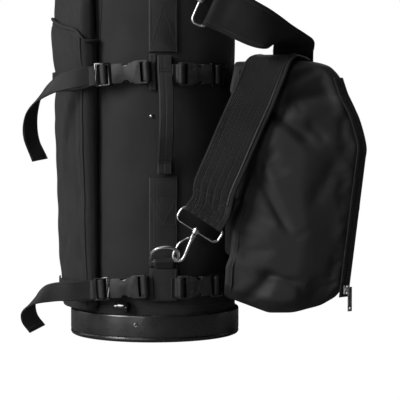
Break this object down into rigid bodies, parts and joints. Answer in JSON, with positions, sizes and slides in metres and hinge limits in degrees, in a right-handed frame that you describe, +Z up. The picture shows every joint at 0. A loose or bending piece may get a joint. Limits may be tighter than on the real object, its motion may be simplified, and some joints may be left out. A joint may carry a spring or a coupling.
{
  "type": "telescope carry case",
  "caption": "Padded cylindrical telescope carry case with rigid base cup, zipped lid, side pocket and pouch, buckled compression straps and a hooked shoulder strap.",
  "frame": {"origin": "middle of the base cup's flat underside", "axes": "+Z up the case's axis, -Y the front with the grab handle and D-rings, +X the side with the pouch"},
  "size_m": [0.4521, 0.256, 0.6003],
  "materials": {
    "case_fabric": "matt black coated nylon, fine plain weave",
    "webbing": "black ribbed webbing",
    "foam": "dark grey closed-cell foam",
    "cup_coating": "satin black coating",
    "moulded_plastic": "satin black moulded acetal",
    "bright_steel": "bright nickel plate"
  },
  "bodies": {
    "root": {"base_cup": "cup_coating", "base_pad": "foam", "base_hoop": "moulded_plastic", "base_screw_1": "bright_steel", "base_screw_2": "bright_steel", "base_screw_3": "bright_steel", "base_screw_4": "bright_steel", "body_sleeve": "case_fabric", "body_foam": "foam", "zip_tape_lower": "webbing", "lid_hinge_strip": "case_fabric", "webbing_lower": "webbing", "webbing_upper": "webbing", "patch_lower": "webbing", "patch_upper": "webbing", "webbing_strip": "webbing", "grab_handle": "webbing", "handle_rivet": "bright_steel", "ring_loop_lower": "webbing", "ring_loop_upper": "webbing", "cross_webbing_upper": "webbing", "cross_webbing_lower": "webbing", "pocket_shell": "case_fabric", "pocket_binding": "webbing", "pocket_collar": "case_fabric", "pouch_shell": "case_fabric", "pouch_zip_tape": "webbing", "buckle_socket_upper_left": "moulded_plastic", "buckle_socket_lower_left": "moulded_plastic", "buckle_socket_upper_right": "moulded_plastic", "buckle_socket_lower_right": "moulded_plastic", "belt_upper_left": "webbing", "belt_lower_left": "webbing", "belt_upper_right": "webbing", "belt_lower_right": "webbing", "shoulder_strap_lower": "webbing", "shoulder_strap_upper": "webbing", "cord_lock": "moulded_plastic"},
    "lid": {"lid_shell": "case_fabric", "lid_pad": "foam", "zip_tape_upper": "webbing"},
    "lid_slider": {"lid_zip_slider": "bright_steel"},
    "lid_puller": {"lid_zip_puller": "bright_steel"},
    "pouch_slider": {"pouch_zip_slider": "bright_steel"},
    "pouch_puller": {"pouch_zip_puller": "bright_steel"},
    "plug_upper_left": {"buckle_plug_upper_left": "moulded_plastic", "belt_tail_upper": "webbing"},
    "plug_lower_left": {"buckle_plug_lower_left": "moulded_plastic", "belt_tail_lower": "webbing"},
    "plug_upper_right": {"buckle_plug_upper_right": "moulded_plastic"},
    "plug_lower_right": {"buckle_plug_lower_right": "moulded_plastic"},
    "clip_lower": {"d_ring_lower": "bright_steel", "hook_loop_lower": "bright_steel"},
    "hook_lower": {"snap_hook_lower": "bright_steel"},
    "gate_lower": {"hook_gate_lower": "bright_steel"},
    "clip_upper": {"d_ring_upper": "bright_steel", "hook_loop_upper": "bright_steel"},
    "hook_upper": {"snap_hook_upper": "bright_steel"},
    "gate_upper": {"hook_gate_upper": "bright_steel"},
    "lock_button": {"cord_lock_button": "moulded_plastic"}
  },
  "joints": [
    {"name": "lid_hinge", "type": "hinge", "parent": "root", "child": "lid", "pos_m": [0, 0.1118, 0.562], "axis": [-1, 0, 0], "range_deg": [0, 110], "deforming": ["lid_hinge_strip"]},
    {"name": "lid_zip_run", "type": "hinge", "parent": "root", "child": "lid_slider", "pos_m": [0, 0, 0.5554], "axis": [0, 0, 1], "range_deg": [-286, 0]},
    {"name": "lid_puller_swing", "type": "hinge", "parent": "lid_slider", "child": "lid_puller", "pos_m": [0.07198, 0.09552, 0.5594], "axis": [0.7986, -0.6018, 0], "range_deg": [0, 150]},
    {"name": "pouch_zip_run", "type": "slide", "parent": "root", "child": "pouch_slider", "axis": [0.1197, 0, 0.9928], "range_m": [0, 0.165]},
    {"name": "pouch_puller_swing", "type": "hinge", "parent": "pouch_slider", "child": "pouch_puller", "pos_m": [0.25837, -0.10105, 0.07194], "axis": [-0.7071, -0.7071, 0], "range_deg": [0, 150]},
    {"name": "buckle_upper_left", "type": "slide", "parent": "root", "child": "plug_upper_left", "axis": [-0.9951, 0.0696, -0.0698], "range_m": [0, 0.026], "deforming": ["belt_upper_left"]},
    {"name": "buckle_lower_left", "type": "slide", "parent": "root", "child": "plug_lower_left", "axis": [-0.9951, 0.0696, -0.0698], "range_m": [0, 0.026], "deforming": ["belt_lower_left"]},
    {"name": "buckle_upper_right", "type": "slide", "parent": "root", "child": "plug_upper_right", "axis": [0.8387, 0.5446, 0], "range_m": [0, 0.026], "deforming": ["belt_upper_right"]},
    {"name": "buckle_lower_right", "type": "slide", "parent": "root", "child": "plug_lower_right", "axis": [0.8387, 0.5446, 0], "range_m": [0, 0.026], "deforming": ["belt_lower_right"]},
    {"name": "clip_lower_swing", "type": "hinge", "parent": "root", "child": "clip_lower", "pos_m": [0.01535, -0.11659, 0.1075], "axis": [0.9914, 0.1305, 0], "range_deg": [-3, 25], "deforming": ["shoulder_strap_lower"]},
    {"name": "hook_lower_swivel", "type": "hinge", "parent": "clip_lower", "child": "hook_lower", "pos_m": [0.0565, -0.121, 0.1469], "axis": [-0.45, 0, -0.893], "range_deg": [-8, 2]},
    {"name": "gate_lower_open", "type": "hinge", "parent": "hook_lower", "child": "gate_lower", "pos_m": [0.04663, -0.121, 0.13799], "axis": [0, -1, 0], "range_deg": [0, 14], "stiffness_Nm_per_rad": 0.02, "springref_deg": -17.19},
    {"name": "clip_upper_swing", "type": "hinge", "parent": "root", "child": "clip_upper", "pos_m": [0.01535, -0.11659, 0.48], "axis": [-0.9914, -0.1305, 0], "range_deg": [-3, 25], "deforming": ["shoulder_strap_upper"]},
    {"name": "hook_upper_swivel", "type": "hinge", "parent": "clip_upper", "child": "hook_upper", "pos_m": [0.0628, -0.121, 0.4454], "axis": [-0.617, 0, 0.787], "range_deg": [-6, 8]},
    {"name": "gate_upper_open", "type": "hinge", "parent": "hook_upper", "child": "gate_upper", "pos_m": [0.05137, -0.121, 0.4522], "axis": [0, 1, 0], "range_deg": [0, 14], "stiffness_Nm_per_rad": 0.02, "springref_deg": -17.19},
    {"name": "lock_button_press", "type": "slide", "parent": "root", "child": "lock_button", "axis": [0.9336, -0.3584, 0], "range_m": [0, 0.0035], "stiffness_N_per_m": 300, "springref_m": -0.003}
  ]
}
